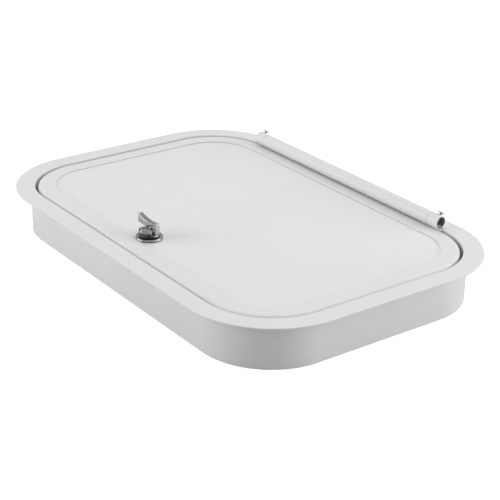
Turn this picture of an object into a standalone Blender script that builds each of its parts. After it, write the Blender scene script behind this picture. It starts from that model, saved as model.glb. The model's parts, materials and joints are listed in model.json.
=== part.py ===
"""Flush deck hatch: a white frame with a drained gutter, a flush lid on a long tube hinge,
and a wing lock whose cam turns under the frame. Lengths are in metres, +Z is up.

The origin is the middle of the frame's lower edge. +X runs along the hinge, +Y points from
the lock to the hinge. Most sections are given as (inset, height): the inset is measured
inwards from the outer edge of the flange, the height from the top of the flange.
"""
import math

import bmesh
import bpy

# Driving dimensions
FLANGE_LENGTH = 0.642
FLANGE_WIDTH = 0.440
FLANGE_CORNER = 0.120
FLANGE_THICK = 0.0025
DEPTH = 0.066
CORNER_STEPS = 16

WALL_INSET = 0.021
WALL_THICK = 0.003
GUTTER_INSET = 0.027
GUTTER_DEPTH = 0.024
COAMING_INSET = 0.049
COAMING_TOP = -0.016

LID_INSET = 0.031
LID_EDGE_RADIUS = 0.005
BORDER_WIDTH = 0.025
BORDER_DEPTH = 0.008
LEDGE_INSET = 0.058
GROOVE_INSET = 0.044
LIP_THICK = 0.0012
PLATE_THICK = 0.003

HINGE_X = -0.0045                # the hinge's middle, a little left of the lid's
HINGE_INSET = 0.030
HINGE_HEIGHT = 0.0105
TUBE_RADIUS = 0.00925
TUBE_BORE = 0.0075
HINGE_HALF = 0.202
SEAM_X = 0.183
LEAF_HALF = 0.169
ROD_RADIUS = 0.006
STOP_SCREW_X = 0.195
STOP_SCREW_TILT = math.radians(30)     # leans back from upright

LOCK_INSET = 0.0745
BASE_RADIUS = 0.0182
BARREL_RADIUS = 0.009
HUB_FOOT_RADIUS = 0.0144
HUB_TOP_RADIUS = 0.0104
HUB_BASE = 0.0037
HUB_TOP = 0.0120
KEY_OFFSET = -0.0045
SPINDLE_SIDE = 0.008
CAM_LENGTH = 0.033

FIT = 0.0003                     # clearance between two pieces that touch

# Places that follow from them
TOP = DEPTH
HINGE_Y = FLANGE_WIDTH / 2 - HINGE_INSET
HINGE_Z = TOP + HINGE_HEIGHT
LOCK_Y = LOCK_INSET - FLANGE_WIDTH / 2
COAMING_INNER = COAMING_INSET + WALL_THICK
GUTTER_FLOOR = -GUTTER_DEPTH - WALL_THICK
PLATE_TOP = -LIP_THICK - FIT
PLATE_BOTTOM = PLATE_TOP - PLATE_THICK
BARREL_END = -0.026
CAM_TOP = GUTTER_FLOOR - 0.0021
CAM_THICK = 0.003

ALONG_X = (math.pi / 2, 0, math.pi / 2)     # turns a section's (x, y) into (Y, Z), depth along X
ALONG_Y = (math.pi / 2, 0, 0)               # turns a section's (x, y) into (X, Z), depth along Y


def clear_scene():
    for old in list(bpy.data.objects):
        bpy.data.objects.remove(old, do_unlink=True)


def new_collection(name):
    collection = bpy.data.collections.new(name)
    bpy.context.scene.collection.children.link(collection)
    return collection


clear_scene()
PARTS = new_collection("deck_hatch")
GUIDES = new_collection("cutters")


def finish_material(name, colour, metallic, roughness):
    material = bpy.data.materials.new(name)
    material.use_nodes = True
    shader = material.node_tree.nodes["Principled BSDF"]
    shader.inputs["Base Color"].default_value = (*colour, 1.0)
    shader.inputs["Metallic"].default_value = metallic
    shader.inputs["Roughness"].default_value = roughness
    return material


WHITE_PAINT = finish_material("white_paint", (0.80, 0.80, 0.79), 0.0, 0.35)
STAINLESS = finish_material("stainless_steel", (0.62, 0.62, 0.60), 1.0, 0.25)
CHROME = finish_material("polished_chrome", (0.55, 0.55, 0.56), 1.0, 0.12)
RUBBER = finish_material("black_rubber", (0.02, 0.02, 0.02), 0.0, 0.6)
NYLON = finish_material("white_nylon", (0.75, 0.75, 0.72), 0.0, 0.5)


# ---------------------------------------------------------------- outlines and helpers

def arc(centre, radius, start, end, steps):
    """Points of an arc, angles in degrees, both ends included."""
    points = []
    for step in range(steps + 1):
        angle = math.radians(start + (end - start) * step / steps)
        points.append((centre[0] + radius * math.cos(angle), centre[1] + radius * math.sin(angle)))
    return points


def flange_outline(inset):
    """The flange's outline, moved inwards by the inset, anticlockwise from above."""
    radius = FLANGE_CORNER - inset
    along = FLANGE_LENGTH / 2 - FLANGE_CORNER
    across = FLANGE_WIDTH / 2 - FLANGE_CORNER
    points = []
    for index, (sx, sy) in enumerate(((1, 1), (-1, 1), (-1, -1), (1, -1))):
        start = 90 * index
        points += arc((sx * along, sy * across), radius, start, start + 90, CORNER_STEPS)
    return points


def add_spline(curve, points, cyclic=True):
    spline = curve.splines.new("POLY")
    spline.points.add(len(points) - 1)
    for point, (x, y) in zip(spline.points, points):
        point.co = (x, y, 0.0, 1.0)
    spline.use_cyclic_u = cyclic


def place(name, data, material, location=(0, 0, 0), rotation=(0, 0, 0)):
    piece = bpy.data.objects.new(name, data)
    piece.location = location
    piece.rotation_euler = rotation
    if material is not None:
        data.materials.append(material)
    PARTS.objects.link(piece)
    return piece


def hide_guide(guide):
    guide.hide_render = True
    guide.display_type = "WIRE"
    GUIDES.objects.link(guide)


def as_mesh(piece):
    """Turns a curve piece into a welded mesh, so that it can be cut."""
    bpy.context.view_layer.update()
    evaluated = piece.evaluated_get(bpy.context.evaluated_depsgraph_get())
    mesh = bpy.data.meshes.new_from_object(evaluated)
    work = bmesh.new()
    work.from_mesh(mesh)
    bmesh.ops.remove_doubles(work, verts=work.verts, dist=1e-6)
    work.to_mesh(mesh)
    work.free()
    name, matrix = piece.name, piece.matrix_world.copy()
    curve = piece.data
    bpy.data.objects.remove(piece)
    bpy.data.curves.remove(curve)
    meshed = bpy.data.objects.new(name, mesh)
    meshed.matrix_world = matrix
    PARTS.objects.link(meshed)
    return meshed


def swept_ring(name, section, material):
    """A closed moulding: the (inset, height) section carried round the flange's outline."""
    profile = bpy.data.curves.new(name + "_section", "CURVE")
    profile.dimensions = "2D"
    add_spline(profile, [(inset, height) for inset, height in section])
    guide = bpy.data.objects.new(name + "_section", profile)
    hide_guide(guide)
    path = bpy.data.curves.new(name, "CURVE")
    path.dimensions = "2D"
    path.fill_mode = "NONE"
    add_spline(path, flange_outline(0.0))
    path.bevel_mode = "OBJECT"
    path.bevel_object = guide
    return place(name, path, material, (0, 0, TOP))


def flat_piece(name, outlines, low, high, material, location=(0, 0, 0), rotation=(0, 0, 0)):
    """A flat outline, with any holes, given its thickness from low to high."""
    curve = bpy.data.curves.new(name, "CURVE")
    curve.dimensions = "2D"
    curve.fill_mode = "BOTH"
    curve.extrude = (high - low) / 2
    for outline in outlines:
        add_spline(curve, outline)
    middle = (high + low) / 2
    if rotation == ALONG_X:
        shift = (middle, 0, 0)
    elif rotation == ALONG_Y:
        shift = (0, -middle, 0)
    else:
        shift = (0, 0, middle)
    moved = tuple(a + b for a, b in zip(location, shift))
    return place(name, curve, material, moved, rotation)


def turned_piece(name, profile, material, location, rotation=(0, 0, 0), steps=24):
    """A turned piece: (radius, height) points, running down the outer side, spun about Z."""
    closed = profile[0][0] > 0
    count = len(profile)
    edges = [(index, index + 1) for index in range(count - 1)]
    if closed:
        edges.append((count - 1, 0))
    mesh = bpy.data.meshes.new(name)
    mesh.from_pydata([(radius, 0, height) for radius, height in profile], edges, [])
    piece = place(name, mesh, material, location, rotation)
    spin = piece.modifiers.new("turn", "SCREW")
    spin.axis = "Z"
    spin.steps = steps
    spin.render_steps = steps
    spin.use_merge_vertices = True
    spin.merge_threshold = 1e-5
    return piece


def ring_profile(outer, inner, low, high):
    return [(outer, high), (outer, low), (inner, low), (inner, high)]


def cutter_box(name, low, high):
    mesh = bpy.data.meshes.new(name)
    work = bmesh.new()
    bmesh.ops.create_cube(work, size=1.0)
    for vert in work.verts:
        for axis in range(3):
            vert.co[axis] = high[axis] if vert.co[axis] > 0 else low[axis]
    work.to_mesh(mesh)
    work.free()
    guide = bpy.data.objects.new(name, mesh)
    hide_guide(guide)
    return guide


def cutter_rod(name, centre, radius, low, high, sides=24):
    mesh = bpy.data.meshes.new(name)
    work = bmesh.new()
    bmesh.ops.create_cone(work, cap_ends=True, segments=sides, radius1=radius, radius2=radius,
                          depth=high - low)
    work.to_mesh(mesh)
    work.free()
    guide = bpy.data.objects.new(name, mesh)
    guide.location = (centre[0], centre[1], (high + low) / 2)
    hide_guide(guide)
    return guide


def combine(piece, other, operation="DIFFERENCE"):
    step = piece.modifiers.new(operation.lower(), "BOOLEAN")
    step.operation = operation
    step.solver = "EXACT"
    step.object = other


# ---------------------------------------------------------------- frame

def strike_screw_places():
    return [(side * 0.018, -FLANGE_WIDTH / 2 + 0.032) for side in (-1, 1)]


def drain_places():
    return [(side * 0.180, -FLANGE_WIDTH / 2 + 0.038) for side in (-1, 1)]


def make_frame():
    """Flange, wall, gutter and coaming in one bent extrusion, with a tab under each knuckle."""
    section = [
        (0, 0), (GUTTER_INSET, 0), (GUTTER_INSET, -GUTTER_DEPTH),
        (COAMING_INSET, -GUTTER_DEPTH), (COAMING_INSET, COAMING_TOP),
        (COAMING_INNER, COAMING_TOP), (COAMING_INNER, GUTTER_FLOOR),
        (WALL_INSET + WALL_THICK, GUTTER_FLOOR), (WALL_INSET + WALL_THICK, -DEPTH),
        (WALL_INSET, -DEPTH), (WALL_INSET, -FLANGE_THICK), (0, -FLANGE_THICK),
    ]
    frame = as_mesh(swept_ring("frame", section, WHITE_PAINT))
    inner_edge = FLANGE_WIDTH / 2 - GUTTER_INSET
    for side, label in ((-1, "left"), (1, "right")):
        ends = sorted(HINGE_X + side * x for x in (LEAF_HALF + FIT, HINGE_HALF + 0.001))
        tab = cutter_box("frame_tab_" + label,
                         (ends[0], inner_edge - 0.0037, TOP - 0.003),
                         (ends[1], inner_edge + 0.002, TOP - 0.0002))
        combine(frame, tab, "UNION")
    for index, (x, y) in enumerate(drain_places()):
        hole = cutter_rod(f"drain_hole_{index}", (x, y), 0.0058, TOP - 0.030, TOP - 0.021)
        combine(frame, hole)
    for index, (x, y) in enumerate(strike_screw_places()):
        hole = cutter_rod(f"strike_hole_{index}", (x, y), 0.0019, TOP - 0.030, TOP - 0.0245)
        combine(frame, hole)


def make_frame_seal():
    """Rubber moulding that grips the coaming and fills up to the lid's underside."""
    side = 0.0018
    outer = COAMING_INSET - side
    inner = COAMING_INNER + side
    centre = (outer + inner) / 2
    half = (inner - outer) / 2
    shoulder = COAMING_TOP + 0.002
    crown = -BORDER_DEPTH - FIT - shoulder
    bulb = [(centre - half * math.cos(math.pi * step / 8), shoulder + crown * math.sin(math.pi * step / 8))
            for step in range(9)]
    section = bulb + [
        (inner, COAMING_TOP - 0.006), (COAMING_INNER + FIT, COAMING_TOP - 0.006),
        (COAMING_INNER + FIT, COAMING_TOP + FIT), (COAMING_INSET - FIT, COAMING_TOP + FIT),
        (COAMING_INSET - FIT, COAMING_TOP - 0.006), (outer, COAMING_TOP - 0.006),
    ]
    swept_ring("frame_seal", section, RUBBER)


def make_drain_spigots():
    """Hose tails that take the water out of the gutter."""
    profile = [
        (0.0055, GUTTER_FLOOR + 0.0025), (0.0055, GUTTER_FLOOR - FIT),
        (0.0090, GUTTER_FLOOR - FIT), (0.0090, GUTTER_FLOOR - 0.0025),
        (0.0065, GUTTER_FLOOR - 0.0025), (0.0065, GUTTER_FLOOR - 0.018),
        (0.0072, GUTTER_FLOOR - 0.018), (0.0062, GUTTER_FLOOR - 0.022),
        (0.0042, GUTTER_FLOOR - 0.022), (0.0042, GUTTER_FLOOR + 0.0025),
    ]
    for (x, y), label in zip(drain_places(), ("left", "right")):
        turned_piece("drain_spigot_" + label, profile, NYLON, (x, y, TOP), steps=20)


def make_strike_plate():
    """Steel wear plate under the gutter floor, where the cam slides."""
    high = TOP + GUTTER_FLOOR - FIT
    low = high - 0.0015
    edge = -FLANGE_WIDTH / 2
    corners = [(-0.024, edge + 0.027), (0.024, edge + 0.027),
               (0.024, edge + 0.0515), (-0.024, edge + 0.0515)]
    plate = as_mesh(flat_piece("strike_plate", [corners], low, high, STAINLESS))
    profile = [(0, 0.0042), (0.0016, 0.0042), (0.0016, -FIT), (0.0034, -FIT),
               (0.0028, -0.0016), (0, -0.0020)]
    for (x, y), label in zip(strike_screw_places(), ("left", "right")):
        hole = cutter_rod("strike_plate_hole_" + label, (x, y), 0.0019, low - 0.001, high + 0.001)
        combine(plate, hole)
        turned_piece("strike_screw_" + label, profile, STAINLESS, (x, y, low), steps=16)


# ---------------------------------------------------------------- lid

def leaf_screw_places():
    """Six screws hold the hinge leaf, three each side of the border's butt joint."""
    return [(HINGE_X + side * x, HINGE_Y - 0.007)
            for side in (-1, 1) for x in (0.028, 0.084, 0.140)]


def make_lid_border():
    """Bent extrusion round the plate. Its ends meet in a butt joint behind the lid's middle."""
    edge = arc((LID_INSET + LID_EDGE_RADIUS, -LID_EDGE_RADIUS), LID_EDGE_RADIUS, 180, 90, 4)
    lip = LID_INSET + BORDER_WIDTH
    groove_floor = PLATE_BOTTOM - FIT
    section = edge + [
        (lip, 0), (lip, -LIP_THICK), (GROOVE_INSET, -LIP_THICK), (GROOVE_INSET, groove_floor),
        (LEDGE_INSET, groove_floor), (LEDGE_INSET, -BORDER_DEPTH), (LID_INSET, -BORDER_DEPTH),
    ]
    border = as_mesh(swept_ring("lid_border", section, WHITE_PAINT))
    joint_x = -0.003
    joint_half = 0.00015
    joint = cutter_box("border_joint", (joint_x - joint_half, 0.150, TOP - 0.012),
                       (joint_x + joint_half, 0.200, TOP + 0.004))
    combine(border, joint)
    for index, (x, y) in enumerate(leaf_screw_places()):
        hole = cutter_rod(f"border_hole_{index}", (x, y), 0.0020, TOP - 0.010, TOP - 0.0027, 16)
        combine(border, hole)


def make_lid_plate():
    """Flat plate held in the border's groove, with the lock's hole."""
    outline = flange_outline(GROOVE_INSET + FIT)
    hole = arc((0, LOCK_Y), BARREL_RADIUS + FIT, 0, 360, 32)[:-1]
    flat_piece("lid_plate", [outline, hole], TOP + PLATE_BOTTOM, TOP + PLATE_TOP, WHITE_PAINT)


# ---------------------------------------------------------------- hinge

def make_hinge_tube():
    """Middle knuckle and its leaf: the tube, a fin down the gap and a foot under the border."""
    fin_front, fin_back = 0.0, 0.002
    foot_top = -HINGE_HEIGHT - BORDER_DEPTH - FIT
    foot_bottom = foot_top - 0.0025
    foot_end = -0.014
    start = math.degrees(math.asin(fin_back / TUBE_RADIUS)) - 90
    around = arc((0, 0), TUBE_RADIUS, start, 270, 30)
    outline = around + [
        (fin_front, foot_top), (foot_end, foot_top), (foot_end, foot_bottom), (fin_back, foot_bottom),
    ]
    bore = arc((0, 0), TUBE_BORE, 0, 360, 32)[:-1]
    half = SEAM_X - 0.0008
    tube = as_mesh(flat_piece("hinge_tube", [outline, bore], -half, half, WHITE_PAINT,
                              (HINGE_X, HINGE_Y, HINGE_Z), ALONG_X))
    for side, label in ((-1, "left"), (1, "right")):
        ends = sorted(HINGE_X + side * x for x in (LEAF_HALF, SEAM_X + 0.004))
        end_cut = cutter_box("leaf_end_" + label, (ends[0], HINGE_Y - 0.020, TOP - 0.016),
                             (ends[1], HINGE_Y + 0.006, TOP + 0.0012))
        combine(tube, end_cut)
    for index, (x, y) in enumerate(leaf_screw_places()):
        hole = cutter_rod(f"leaf_hole_{index}", (x, y), 0.0023, TOP - 0.014, TOP - 0.007, 16)
        combine(tube, hole)


def make_leaf_screws():
    seat = TOP - BORDER_DEPTH - FIT - 0.0025
    profile = [(0, 0.0078), (0.0017, 0.0078), (0.0017, -FIT), (0.0034, -FIT),
               (0.0028, -0.0015), (0, -0.0019)]
    for index, (x, y) in enumerate(leaf_screw_places()):
        turned_piece(f"leaf_screw_{index + 1}", profile, STAINLESS, (x, y, seat), steps=12)


def make_knuckles():
    """End knuckles: tube with a slot along its underside, on a saddle welded to the flange."""
    slot_front, slot_back = 230, 297
    bottom = -HINGE_HEIGHT + FIT
    section = arc((0, 0), TUBE_BORE, slot_back, slot_front + 360, 28)
    section += arc((0, 0), TUBE_RADIUS, slot_front + 360, 350, 24)
    section += [(0.0110, -0.0060), (0.0110, bottom), (0.0048, bottom)]
    section += [(TUBE_RADIUS * math.cos(math.radians(slot_back)),
                 TUBE_RADIUS * math.sin(math.radians(slot_back)))]
    for side, label in ((-1, "left"), (1, "right")):
        ends = sorted((side * (SEAM_X + 0.0006), side * HINGE_HALF))
        knuckle = as_mesh(flat_piece("hinge_knuckle_" + label, [section], ends[0], ends[1],
                                     WHITE_PAINT, (HINGE_X, HINGE_Y, HINGE_Z), ALONG_X))
        hole = cutter_rod("stop_screw_hole_" + label, (0, 0), 0.0021, 0, 0.012, 16)
        hole.rotation_euler = (-STOP_SCREW_TILT, 0, 0)
        hole.location = (HINGE_X + side * STOP_SCREW_X,
                         HINGE_Y + 0.006 * math.sin(STOP_SCREW_TILT),
                         HINGE_Z + 0.006 * math.cos(STOP_SCREW_TILT))
        combine(knuckle, hole)


def make_stop_screws():
    """Screws across the ends of the knuckles, which keep the rod in, on a spacer each."""
    spacer = ring_profile(0.0034, 0.0021, TUBE_RADIUS + FIT, TUBE_RADIUS + 0.0015)
    seat = TUBE_RADIUS + 0.0018
    screw = [(0, seat + 0.0025), (0.0036, seat + 0.0023), (0.0046, seat + 0.0014),
             (0.0049, seat + 0.0005), (0.0049, seat), (0.0017, seat), (0.0017, -0.0054),
             (0, -0.0058)]
    lean = (-STOP_SCREW_TILT, 0, 0)
    for side, label in ((-1, "left"), (1, "right")):
        spot = (HINGE_X + side * STOP_SCREW_X, HINGE_Y, HINGE_Z)
        turned_piece("stop_screw_spacer_" + label, spacer, STAINLESS, spot, lean, steps=20)
        turned_piece("stop_screw_" + label, screw, STAINLESS, spot, lean, steps=20)


def make_rod_and_bushes():
    """Rod through all three knuckles, running in nylon bushes, with a thrust washer at each seam."""
    axis = (HINGE_X, HINGE_Y, HINGE_Z)
    reach = STOP_SCREW_X - 0.0023
    rod = [(0, reach), (ROD_RADIUS - 0.0008, reach), (ROD_RADIUS, reach - 0.0008),
           (ROD_RADIUS, 0.0008 - reach), (ROD_RADIUS - 0.0008, -reach), (0, -reach)]
    turned_piece("hinge_rod", rod, STAINLESS, axis, ALONG_X, steps=20)
    inner = ROD_RADIUS + FIT
    outer = TUBE_BORE - FIT
    for side, label in ((-1, "left"), (1, "right")):
        pieces = {
            "lid_bush_": (outer, SEAM_X - 0.022, SEAM_X - 0.001),
            "thrust_washer_": (TUBE_RADIUS - 0.0001, SEAM_X - 0.0005, SEAM_X + 0.0003),
            "knuckle_bush_": (outer, SEAM_X + 0.0008, SEAM_X + 0.0090),
        }
        for name, (radius, near, far) in pieces.items():
            low, high = sorted((side * near, side * far))
            turned_piece(name + label, ring_profile(radius, inner, low, high), NYLON, axis, ALONG_X,
                         steps=20)


# ---------------------------------------------------------------- lock

def make_lock_body():
    """Base ring on the plate with its barrel through the lid, gasket, washer and nut."""
    spot = (0, LOCK_Y, TOP)
    seat = PLATE_TOP + 0.0013
    crown = 0.0020
    body = [(0.0155, crown), (0.0178, crown - 0.0006), (BASE_RADIUS, crown - 0.0015),
            (BASE_RADIUS, seat), (BARREL_RADIUS, seat), (BARREL_RADIUS, BARREL_END),
            (0.0061, BARREL_END), (0.0061, crown)]
    turned_piece("lock_body", body, CHROME, spot, steps=32)
    gasket = ring_profile(0.0165, BARREL_RADIUS + FIT, PLATE_TOP + FIT, seat - FIT)
    turned_piece("lock_gasket", gasket, RUBBER, spot, steps=32)
    washer_low = PLATE_BOTTOM - FIT - 0.001
    washer = ring_profile(0.0122, BARREL_RADIUS + FIT, washer_low, PLATE_BOTTOM - FIT)
    turned_piece("lock_washer", washer, STAINLESS, spot, steps=24)
    nut_high = washer_low - FIT
    hexagon = arc((0, LOCK_Y), 0.0127, 0, 360, 6)[:-1]
    bore = arc((0, LOCK_Y), BARREL_RADIUS + FIT, 0, 360, 24)[:-1]
    flat_piece("lock_nut", [hexagon, bore], TOP + nut_high - 0.0045, TOP + nut_high, STAINLESS)
    hub_ring = ring_profile(0.0135, 0.0100, crown + FIT, HUB_BASE - FIT)
    turned_piece("hub_ring", hub_ring, RUBBER, spot, steps=32)


def fin_outline():
    """Side view of the wing, (x, height): a raised tip, a hollow back and an upright heel."""
    tip, heel = -0.0275, 0.0138
    tip_high, heel_high, hollow = 0.0243, 0.0229, 0.0034
    points = []
    steps = 8
    for step in range(steps + 1):
        share = step / steps
        sag = hollow * 4 * share * (1 - share)
        points.append((tip + (heel - tip) * share, tip_high + (heel_high - tip_high) * share - sag))
    points += [(heel, 0.0085), (0.0120, 0.0050), (-0.0040, 0.0050),
               (-0.0093, 0.0086), (-0.0125, 0.0113), (tip, 0.0119)]
    return points


def make_wing_handle():
    """Flared hub that leans towards the keyhole, joined to an upright wing."""
    mesh = bpy.data.meshes.new("wing_handle")
    work = bmesh.new()
    bmesh.ops.create_cone(work, cap_ends=True, segments=32, radius1=HUB_FOOT_RADIUS,
                          radius2=HUB_TOP_RADIUS, depth=HUB_TOP - HUB_BASE)
    lean = KEY_OFFSET * 0.75
    for vert in work.verts:
        if vert.co.z > 0:
            vert.co.y += lean
    work.to_mesh(mesh)
    work.free()
    handle = place("wing_handle", mesh, CHROME, (0, LOCK_Y, TOP + (HUB_TOP + HUB_BASE) / 2))
    fin = as_mesh(flat_piece("wing_fin", [fin_outline()], -0.0078, -0.0001, CHROME,
                             (0, LOCK_Y, TOP), ALONG_Y))
    PARTS.objects.unlink(fin)
    hide_guide(fin)
    combine(handle, fin, "UNION")
    key_bore = cutter_rod("key_bore", (0, LOCK_Y + KEY_OFFSET), 0.0088 + FIT, TOP + 0.0080,
                          TOP + HUB_TOP + 0.004, 32)
    combine(handle, key_bore)
    half = SPINDLE_SIDE / 2 + FIT
    socket = cutter_box("spindle_socket", (-half, LOCK_Y - half, TOP + 0.002),
                        (half, LOCK_Y + half, TOP + 0.0066))
    combine(handle, socket)
    return handle


def make_key_cylinder():
    """Lock housing in the hub with a turning plug and its keyway."""
    spot = (0, LOCK_Y + KEY_OFFSET, TOP)
    floor = 0.0083
    rim = HUB_TOP + 0.0006
    housing = [(0.0083, rim), (0.0088, rim - 0.0005), (0.0088, floor), (0.0063, floor), (0.0063, rim)]
    turned_piece("key_cylinder", housing, CHROME, spot, steps=32)
    plug_top = rim - 0.0004
    plug = [(0, plug_top), (0.0057, plug_top), (0.0060, plug_top - 0.0003), (0.0060, floor), (0, floor)]
    piece = turned_piece("key_plug", plug, CHROME, spot, steps=24)
    keyway = cutter_box("keyway", (-0.0040, LOCK_Y + KEY_OFFSET - 0.0006, TOP + 0.0092),
                        (0.0040, LOCK_Y + KEY_OFFSET + 0.0006, TOP + HUB_TOP + 0.002))
    combine(piece, keyway)


def make_spindle():
    """Square spindle from the hub to the cam, drilled for the cam bolt."""
    half = SPINDLE_SIDE / 2
    square = [(-half, -half), (half, -half), (half, half), (-half, half)]
    low = CAM_TOP - CAM_THICK + FIT
    spindle = as_mesh(flat_piece("spindle", [square], low, 0.0063, STAINLESS, (0, LOCK_Y, TOP)))
    bolt_hole = cutter_rod("bolt_hole", (0, LOCK_Y), 0.0028, TOP + low - 0.002, TOP + low + 0.014, 16)
    combine(spindle, bolt_hole)


def make_cam():
    """Cam arm on the spindle's square, turned off its strike, with spacer, washer and bolt."""
    spot = (0, LOCK_Y, TOP)
    half = SPINDLE_SIDE / 2 + FIT
    hole = [(-half, -half), (half, -half), (half, half), (-half, half)]
    end = 0.0070
    outline = arc((0, 0), 0.0085, -90, 90, 12) + arc((end - CAM_LENGTH, 0), end, 90, 270, 10)
    low = CAM_TOP - CAM_THICK
    flat_piece("cam_arm", [outline, hole], low, CAM_TOP, STAINLESS, spot)
    spacer = ring_profile(0.0085, 0.0061, CAM_TOP + FIT, BARREL_END - FIT)
    turned_piece("cam_spacer", spacer, NYLON, spot)
    washer_low = low - FIT - 0.0012
    turned_piece("cam_washer", ring_profile(0.0085, 0.0029, washer_low, low - FIT), STAINLESS, spot)
    head_high = washer_low - FIT
    bolt = [(0, low + 0.0130), (0.0025, low + 0.0130), (0.0025, head_high), (0.0056, head_high),
            (0.0056, head_high - 0.0030), (0.0050, head_high - 0.0036), (0, head_high - 0.0036)]
    turned_piece("cam_bolt", bolt, STAINLESS, spot, steps=24)


make_frame()
make_frame_seal()
make_drain_spigots()
make_strike_plate()
make_lid_border()
make_lid_plate()
make_hinge_tube()
make_leaf_screws()
make_knuckles()
make_stop_screws()
make_rod_and_bushes()
make_lock_body()
make_wing_handle()
make_key_cylinder()
make_spindle()
make_cam()
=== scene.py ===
# %% [markdown]
# # A flush deck hatch
#
# The real hatch is a bent aluminium extrusion with a flush lid, a long tube hinge and a wing
# lock, nearly all of it powder-coated white. White paint hides nothing: what the eye reads is the
# run of light over edges, gaps and radii. So this script spends its effort on clean surfaces with
# true edge radii, and each one is worked out with numpy from a section and a path.
#
# The packed model gives every size and place. It is loaded first, and nothing in it moves.

# %% Load the packed model
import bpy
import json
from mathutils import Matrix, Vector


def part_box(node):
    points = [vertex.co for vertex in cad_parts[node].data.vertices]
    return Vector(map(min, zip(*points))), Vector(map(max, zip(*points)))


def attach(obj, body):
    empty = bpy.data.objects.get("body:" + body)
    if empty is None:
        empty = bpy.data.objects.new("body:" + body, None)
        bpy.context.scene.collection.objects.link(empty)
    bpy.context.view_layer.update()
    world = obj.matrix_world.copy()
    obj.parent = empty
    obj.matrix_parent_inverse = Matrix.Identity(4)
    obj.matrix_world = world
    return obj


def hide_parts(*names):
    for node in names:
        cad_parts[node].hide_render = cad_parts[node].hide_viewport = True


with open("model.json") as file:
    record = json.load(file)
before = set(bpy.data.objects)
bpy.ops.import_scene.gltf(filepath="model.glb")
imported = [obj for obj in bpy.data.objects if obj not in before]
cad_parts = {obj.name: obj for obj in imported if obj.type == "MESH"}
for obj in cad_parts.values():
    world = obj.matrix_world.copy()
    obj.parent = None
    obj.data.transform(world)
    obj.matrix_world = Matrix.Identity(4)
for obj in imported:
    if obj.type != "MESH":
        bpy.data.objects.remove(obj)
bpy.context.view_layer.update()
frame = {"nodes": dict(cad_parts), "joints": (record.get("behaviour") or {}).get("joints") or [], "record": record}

import json
import math

import bpy
import numpy as np
from mathutils import Matrix

record = frame["record"]
slots = {part["node"]: part["material_slot"] for part in record["subparts"]}
bodies = {node: body for body, nodes in record["behaviour"]["bodies"].items() for node in nodes}
joints = {joint["name"]: joint for joint in frame["joints"]}
print("nodes:", len(slots), "bodies:", sorted(set(bodies.values())))

# %% [markdown]
# ## Measures
#
# A hatch is drawn round one outline: a rounded rectangle. Every moulding in it runs at its own
# inset from that outline, so a piece's section is written as points (inset, height), the inset
# measured inwards from the flange's outer edge and the height from the flange's top. The joints'
# places give the hinge, lock and key axes.

# %% Measures
MM = 0.001


def ends_of(node):
    """The low and the high corner of a packed node's box."""
    return (np.array(end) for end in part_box(node))


def middle_of(node):
    """The middle of a packed node's box, half of low plus high."""
    return sum(ends_of(node)) / 2


frame_low, frame_high = ends_of("frame")
length, width = (frame_high - frame_low)[:2]
top = frame_high[2]
depth = top - frame_low[2]
corner = 120 * MM         # radius of the flange's corners
hinge_axis = np.array(joints["lid_hinge"]["pos_m"])
lock_axis = np.array(joints["handle_turn"]["pos_m"])
key_axis = np.array(joints["key_turn"]["pos_m"])
plate_low, plate_high = (end[2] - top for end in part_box("lid_plate"))
print(f"flange {length:.3f} x {width:.3f} m, depth {depth:.3f} m, plate {plate_high / MM:.1f} mm")

# %% [markdown]
# ## Surfaces from grids
#
# Blender offers primitives, curves and modifiers for such shapes. A grid of points is plainer:
# a table of rows and columns, computed in one go, whose neighbours become faces. A ring closes
# both ways; a bar closes one way and gets a flat cap at each end.

# %% Surfaces from grids


def surface(name, grid, ring=False):
    """Mesh over a (rows, columns, 3) grid. Columns always close on themselves. Rows close too
    when it is a ring, or else the first and last row get a flat cap. The faces' direction comes
    from the sign of the volume, one sixth of the sum of a . (b x c) over the triangles."""
    rows, columns = grid.shape[:2]
    index = np.arange(rows * columns).reshape(rows, columns)
    under = index if ring else index[:-1]
    over = np.roll(index, -1, 0) if ring else index[1:]
    quads = np.stack([under, np.roll(under, -1, 1), np.roll(over, -1, 1), over], -1).reshape(-1, 4)
    points = grid.reshape(-1, 3)
    middle = points.mean(0)
    a, b, c, d = (points[quads[:, side]] - middle for side in range(4))
    volume = np.einsum("ij,ij->", a, np.cross(b, c)) + np.einsum("ij,ij->", a, np.cross(c, d))
    ends = [] if ring else [index[0][::-1], index[-1]]
    if not ring:
        volume += sum(fan_volume(points[end] - middle) for end in ends)
    if volume < 0:
        quads = quads[:, ::-1]
        ends = [end[::-1] for end in ends]
    mesh = bpy.data.meshes.new(name)
    mesh.from_pydata(points.tolist(), [], quads.tolist() + [end.tolist() for end in ends])
    return new_piece(name, mesh)


def fan_volume(loop):
    """Six times the volume between the origin and a flat loop, as a fan of triangles."""
    first = np.broadcast_to(loop[0], loop[1:-1].shape)
    return np.einsum("ij,ij->", first, np.cross(loop[1:-1], loop[2:]))


def smooth(mesh, sharp=38):
    """Shades a mesh smooth, except over edges that turn by more than so many degrees."""
    mesh.shade_smooth()
    mesh.set_sharp_from_angle(angle=math.radians(sharp))


def new_piece(name, mesh):
    """Links a mesh into the scene as an object at the origin."""
    smooth(mesh)
    piece = bpy.data.objects.new(name, mesh)
    bpy.context.scene.collection.objects.link(piece)
    return piece


flat_loop = np.array([(0, 0, 1), (1, 0, 1), (1, 1, 1), (0, 1, 1)])
print("pyramid over a square of 1, height 1:", round(float(fan_volume(flat_loop)) / 6, 3))

# %% [markdown]
# ## Rounded outlines
#
# No real edge is sharp. Each corner of an outline is replaced by an arc that touches both of its
# sides, and a point is added just beyond each end of the arc, so that the flat next to it keeps a
# flat shade.

# %% Rounded outlines
SUPPORT = 0.4 * MM          # how far beyond an arc its extra point lies


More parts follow.
